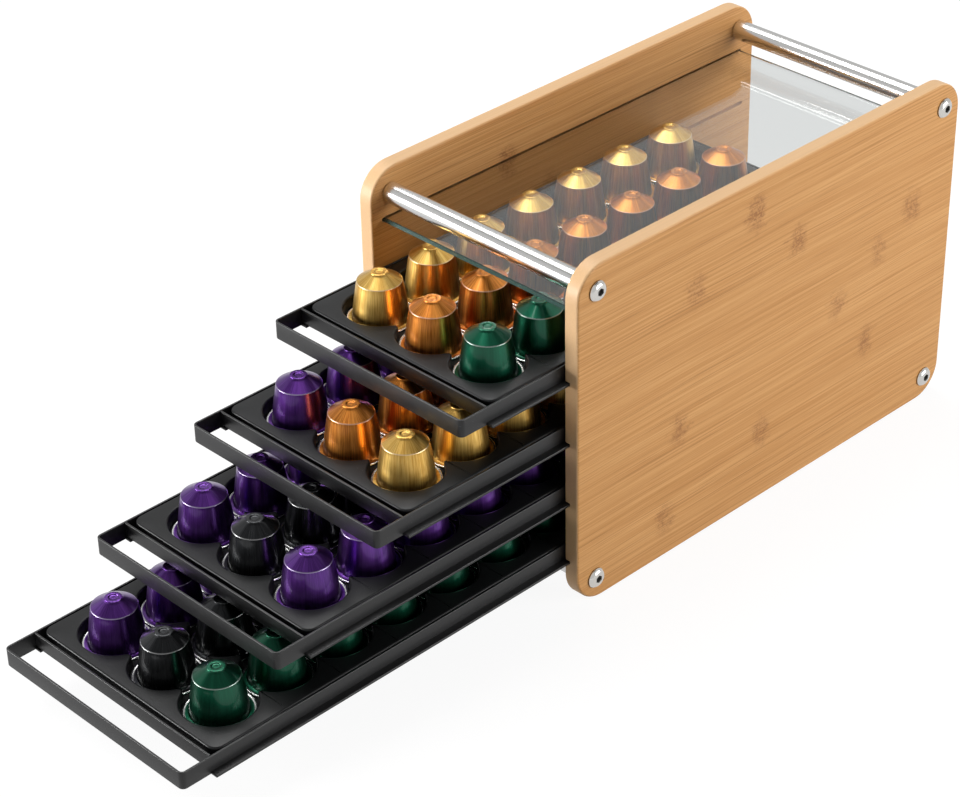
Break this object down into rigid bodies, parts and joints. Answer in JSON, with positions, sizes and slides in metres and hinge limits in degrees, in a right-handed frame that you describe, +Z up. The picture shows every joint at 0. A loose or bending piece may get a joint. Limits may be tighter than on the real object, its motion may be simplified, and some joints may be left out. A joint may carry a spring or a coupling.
{
  "type": "coffee pod drawer",
  "caption": "Tiered countertop rack with bamboo sides, steel rods and a glass shelf; black trays of round pockets hold coffee capsules and slide out in grooves.",
  "frame": {"origin": "on the table, in the middle of the box that the object fills with its drawers pulled out as at rest", "axes": "+Z up, +Y towards the back, drawers pull out along -Y, +X to the right seen from the front"},
  "size_m": [0.1662, 0.5684, 0.205],
  "materials": {
    "bamboo": "clear-lacquered bamboo, fine grain along its depth",
    "glass": "clear float glass with ground green edges",
    "stainless_rod": "polished stainless",
    "polished_bolt": "bright chrome",
    "black_powder_coat": "satin black powder coat",
    "black_tray": "satin black formed plastic",
    "gold_capsule": "anodised gold",
    "copper_capsule": "anodised copper",
    "green_capsule": "anodised green",
    "purple_capsule": "anodised purple",
    "black_capsule": "anodised black",
    "foil_lid": "bright foil"
  },
  "bodies": {
    "carcass": {"left_side_panel": "bamboo", "right_side_panel": "bamboo", "glass_shelf": "glass", "top_front_rod": "stainless_rod", "top_rear_rod": "stainless_rod", "bottom_front_rod": "stainless_rod", "bottom_rear_rod": "stainless_rod", "left_panel_bolts": "polished_bolt", "right_panel_bolts": "polished_bolt"},
    "drawer_1": {"drawer_1_frame": "black_powder_coat", "drawer_1_cross_bar": "black_powder_coat", "drawer_1_left_rail": "black_powder_coat", "drawer_1_right_rail": "black_powder_coat", "drawer_1_tray": "black_tray", "drawer_1_left_pods": "gold_capsule", "drawer_1_middle_pods": "copper_capsule", "drawer_1_right_pods": "green_capsule", "drawer_1_pod_foils": "foil_lid"},
    "drawer_2": {"drawer_2_frame": "black_powder_coat", "drawer_2_cross_bar": "black_powder_coat", "drawer_2_left_rail": "black_powder_coat", "drawer_2_right_rail": "black_powder_coat", "drawer_2_tray": "black_tray", "drawer_2_left_pods": "purple_capsule", "drawer_2_middle_pods": "copper_capsule", "drawer_2_right_pods": "gold_capsule", "drawer_2_pod_foils": "foil_lid"},
    "drawer_3": {"drawer_3_frame": "black_powder_coat", "drawer_3_cross_bar": "black_powder_coat", "drawer_3_left_rail": "black_powder_coat", "drawer_3_right_rail": "black_powder_coat", "drawer_3_tray": "black_tray", "drawer_3_left_pods": "purple_capsule", "drawer_3_middle_pods": "black_capsule", "drawer_3_right_pods": "purple_capsule", "drawer_3_pod_foils": "foil_lid"},
    "drawer_4": {"drawer_4_frame": "black_powder_coat", "drawer_4_cross_bar": "black_powder_coat", "drawer_4_left_rail": "black_powder_coat", "drawer_4_right_rail": "black_powder_coat", "drawer_4_tray": "black_tray", "drawer_4_left_pods": "purple_capsule", "drawer_4_middle_pods": "black_capsule", "drawer_4_right_pods": "green_capsule", "drawer_4_pod_foils": "foil_lid"}
  },
  "joints": [
    {"name": "drawer_1_slide", "type": "slide", "parent": "carcass", "child": "drawer_1", "axis": [0, -1, 0], "range_m": [-0.072, 0.19]},
    {"name": "drawer_2_slide", "type": "slide", "parent": "carcass", "child": "drawer_2", "axis": [0, -1, 0], "range_m": [-0.1305, 0.1315]},
    {"name": "drawer_3_slide", "type": "slide", "parent": "carcass", "child": "drawer_3", "axis": [0, -1, 0], "range_m": [-0.1975, 0.0645]},
    {"name": "drawer_4_slide", "type": "slide", "parent": "carcass", "child": "drawer_4", "axis": [0, -1, 0], "range_m": [-0.2595, 0.0025]}
  ]
}
